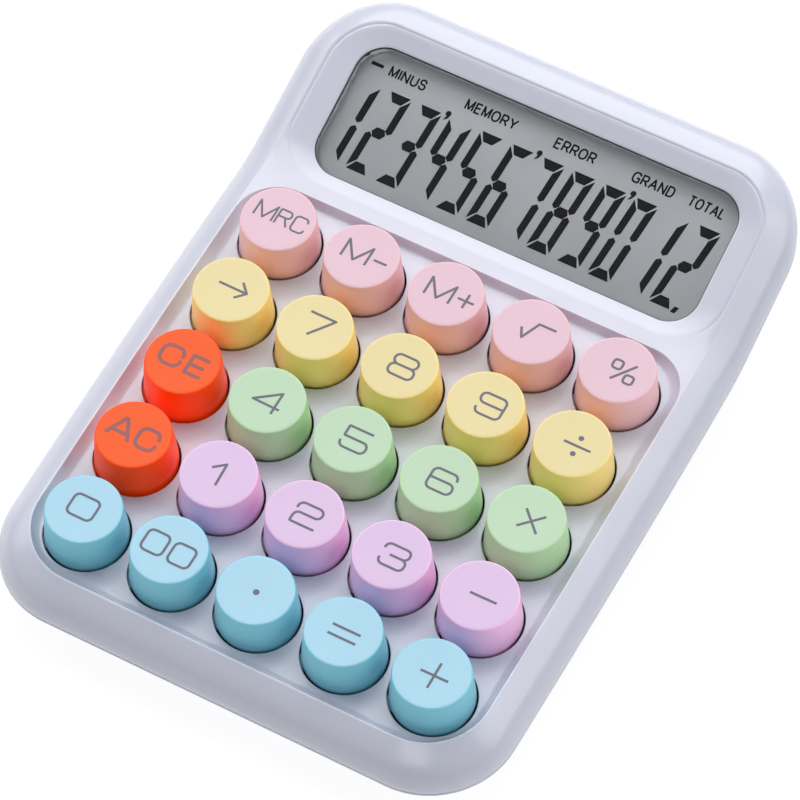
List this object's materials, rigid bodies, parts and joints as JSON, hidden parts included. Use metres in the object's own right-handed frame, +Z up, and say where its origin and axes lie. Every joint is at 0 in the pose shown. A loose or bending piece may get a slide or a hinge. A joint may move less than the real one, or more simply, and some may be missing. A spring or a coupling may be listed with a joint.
{
  "type": "desk calculator",
  "caption": "Wedge-shaped desk calculator with a tilted segment display and a grid of round, tapered, pastel keys that press down; sliding battery door underneath.",
  "frame": {"origin": "on the desk, under the centre of the case", "axes": "+Z up, +Y from the user towards the display, +X to the user's right"},
  "size_m": [0.1152, 0.156, 0.0387],
  "materials": {
    "case": "smooth, glossy",
    "window": "clear, flat",
    "display": "grey reflective display",
    "holder": "moulded",
    "ribbon": "flexible film",
    "silicone": "matte",
    "board": "solder mask",
    "resin": "potting resin",
    "cell": "printed sleeve",
    "steel": "nickel plated",
    "lead_red": "wire insulation",
    "lead_black": "wire insulation",
    "foot": "matte",
    "key_pink": "satin",
    "key_yellow": "satin",
    "key_orange": "satin",
    "key_mint": "satin",
    "key_lilac": "satin",
    "key_sky_blue": "satin"
  },
  "bodies": {
    "calculator": {"top_case": "case", "bottom_case": "case", "display_window": "window", "dome_sheet": "silicone", "main_board": "board", "controller_chip": "resin", "lcd_glass": "display", "lcd_holder": "holder", "lcd_ribbon": "ribbon", "aaa_cell": "cell", "battery_contact_plate": "steel", "battery_contact_spring": "steel", "battery_lead_red": "lead_red", "battery_lead_black": "lead_black", "case_screw_front_left": "steel", "case_screw_front_right": "steel", "case_screw_middle_left": "steel", "case_screw_middle_right": "steel", "case_screw_rear_left": "steel", "case_screw_rear_right": "steel", "board_screw_front_left": "steel", "board_screw_front_right": "steel", "board_screw_rear_left": "steel", "board_screw_rear_right": "steel", "holder_screw_left": "steel", "holder_screw_right": "steel", "foot_front_left": "foot", "foot_front_right": "foot", "foot_rear_left": "foot", "foot_rear_right": "foot"},
    "battery_door": {"battery_door": "case"},
    "key_mrc": {"key_mrc": "key_pink"},
    "key_m_minus": {"key_m_minus": "key_pink"},
    "key_m_plus": {"key_m_plus": "key_pink"},
    "key_sqrt": {"key_sqrt": "key_pink"},
    "key_percent": {"key_percent": "key_pink"},
    "key_arrow": {"key_arrow": "key_yellow"},
    "key_7": {"key_7": "key_yellow"},
    "key_8": {"key_8": "key_yellow"},
    "key_9": {"key_9": "key_yellow"},
    "key_divide": {"key_divide": "key_yellow"},
    "key_ce": {"key_ce": "key_orange"},
    "key_4": {"key_4": "key_mint"},
    "key_5": {"key_5": "key_mint"},
    "key_6": {"key_6": "key_mint"},
    "key_multiply": {"key_multiply": "key_mint"},
    "key_ac": {"key_ac": "key_orange"},
    "key_1": {"key_1": "key_lilac"},
    "key_2": {"key_2": "key_lilac"},
    "key_3": {"key_3": "key_lilac"},
    "key_minus": {"key_minus": "key_lilac"},
    "key_0": {"key_0": "key_sky_blue"},
    "key_00": {"key_00": "key_sky_blue"},
    "key_point": {"key_point": "key_sky_blue"},
    "key_equals": {"key_equals": "key_sky_blue"},
    "key_plus": {"key_plus": "key_sky_blue"}
  },
  "joints": [
    {"name": "key_mrc_press", "type": "slide", "parent": "calculator", "child": "key_mrc", "axis": [0, -0.0698, 0.9976], "range_m": [-0.0024, 0], "stiffness_N_per_m": 300, "deforming": ["dome_sheet"]},
    {"name": "key_m_minus_press", "type": "slide", "parent": "calculator", "child": "key_m_minus", "axis": [0, -0.0698, 0.9976], "range_m": [-0.0024, 0], "stiffness_N_per_m": 300, "deforming": ["dome_sheet"]},
    {"name": "key_m_plus_press", "type": "slide", "parent": "calculator", "child": "key_m_plus", "axis": [0, -0.0698, 0.9976], "range_m": [-0.0024, 0], "stiffness_N_per_m": 300, "deforming": ["dome_sheet"]},
    {"name": "key_sqrt_press", "type": "slide", "parent": "calculator", "child": "key_sqrt", "axis": [0, -0.0698, 0.9976], "range_m": [-0.0024, 0], "stiffness_N_per_m": 300, "deforming": ["dome_sheet"]},
    {"name": "key_percent_press", "type": "slide", "parent": "calculator", "child": "key_percent", "axis": [0, -0.0698, 0.9976], "range_m": [-0.0024, 0], "stiffness_N_per_m": 300, "deforming": ["dome_sheet"]},
    {"name": "key_arrow_press", "type": "slide", "parent": "calculator", "child": "key_arrow", "axis": [0, -0.0698, 0.9976], "range_m": [-0.0024, 0], "stiffness_N_per_m": 300, "deforming": ["dome_sheet"]},
    {"name": "key_7_press", "type": "slide", "parent": "calculator", "child": "key_7", "axis": [0, -0.0698, 0.9976], "range_m": [-0.0024, 0], "stiffness_N_per_m": 300, "deforming": ["dome_sheet"]},
    {"name": "key_8_press", "type": "slide", "parent": "calculator", "child": "key_8", "axis": [0, -0.0698, 0.9976], "range_m": [-0.0024, 0], "stiffness_N_per_m": 300, "deforming": ["dome_sheet"]},
    {"name": "key_9_press", "type": "slide", "parent": "calculator", "child": "key_9", "axis": [0, -0.0698, 0.9976], "range_m": [-0.0024, 0], "stiffness_N_per_m": 300, "deforming": ["dome_sheet"]},
    {"name": "key_divide_press", "type": "slide", "parent": "calculator", "child": "key_divide", "axis": [0, -0.0698, 0.9976], "range_m": [-0.0024, 0], "stiffness_N_per_m": 300, "deforming": ["dome_sheet"]},
    {"name": "key_ce_press", "type": "slide", "parent": "calculator", "child": "key_ce", "axis": [0, -0.0698, 0.9976], "range_m": [-0.0024, 0], "stiffness_N_per_m": 300, "deforming": ["dome_sheet"]},
    {"name": "key_4_press", "type": "slide", "parent": "calculator", "child": "key_4", "axis": [0, -0.0698, 0.9976], "range_m": [-0.0024, 0], "stiffness_N_per_m": 300, "deforming": ["dome_sheet"]},
    {"name": "key_5_press", "type": "slide", "parent": "calculator", "child": "key_5", "axis": [0, -0.0698, 0.9976], "range_m": [-0.0024, 0], "stiffness_N_per_m": 300, "deforming": ["dome_sheet"]},
    {"name": "key_6_press", "type": "slide", "parent": "calculator", "child": "key_6", "axis": [0, -0.0698, 0.9976], "range_m": [-0.0024, 0], "stiffness_N_per_m": 300, "deforming": ["dome_sheet"]},
    {"name": "key_multiply_press", "type": "slide", "parent": "calculator", "child": "key_multiply", "axis": [0, -0.0698, 0.9976], "range_m": [-0.0024, 0], "stiffness_N_per_m": 300, "deforming": ["dome_sheet"]},
    {"name": "key_ac_press", "type": "slide", "parent": "calculator", "child": "key_ac", "axis": [0, -0.0698, 0.9976], "range_m": [-0.0024, 0], "stiffness_N_per_m": 300, "deforming": ["dome_sheet"]},
    {"name": "key_1_press", "type": "slide", "parent": "calculator", "child": "key_1", "axis": [0, -0.0698, 0.9976], "range_m": [-0.0024, 0], "stiffness_N_per_m": 300, "deforming": ["dome_sheet"]},
    {"name": "key_2_press", "type": "slide", "parent": "calculator", "child": "key_2", "axis": [0, -0.0698, 0.9976], "range_m": [-0.0024, 0], "stiffness_N_per_m": 300, "deforming": ["dome_sheet"]},
    {"name": "key_3_press", "type": "slide", "parent": "calculator", "child": "key_3", "axis": [0, -0.0698, 0.9976], "range_m": [-0.0024, 0], "stiffness_N_per_m": 300, "deforming": ["dome_sheet"]},
    {"name": "key_minus_press", "type": "slide", "parent": "calculator", "child": "key_minus", "axis": [0, -0.0698, 0.9976], "range_m": [-0.0024, 0], "stiffness_N_per_m": 300, "deforming": ["dome_sheet"]},
    {"name": "key_0_press", "type": "slide", "parent": "calculator", "child": "key_0", "axis": [0, -0.0698, 0.9976], "range_m": [-0.0024, 0], "stiffness_N_per_m": 300, "deforming": ["dome_sheet"]},
    {"name": "key_00_press", "type": "slide", "parent": "calculator", "child": "key_00", "axis": [0, -0.0698, 0.9976], "range_m": [-0.0024, 0], "stiffness_N_per_m": 300, "deforming": ["dome_sheet"]},
    {"name": "key_point_press", "type": "slide", "parent": "calculator", "child": "key_point", "axis": [0, -0.0698, 0.9976], "range_m": [-0.0024, 0], "stiffness_N_per_m": 300, "deforming": ["dome_sheet"]},
    {"name": "key_equals_press", "type": "slide", "parent": "calculator", "child": "key_equals", "axis": [0, -0.0698, 0.9976], "range_m": [-0.0024, 0], "stiffness_N_per_m": 300, "deforming": ["dome_sheet"]},
    {"name": "key_plus_press", "type": "slide", "parent": "calculator", "child": "key_plus", "axis": [0, -0.0698, 0.9976], "range_m": [-0.0024, 0], "stiffness_N_per_m": 300, "deforming": ["dome_sheet"]},
    {"name": "battery_door_slide", "type": "slide", "parent": "calculator", "child": "battery_door", "axis": [0, 1, 0], "range_m": [0, 0.016]}
  ]
}
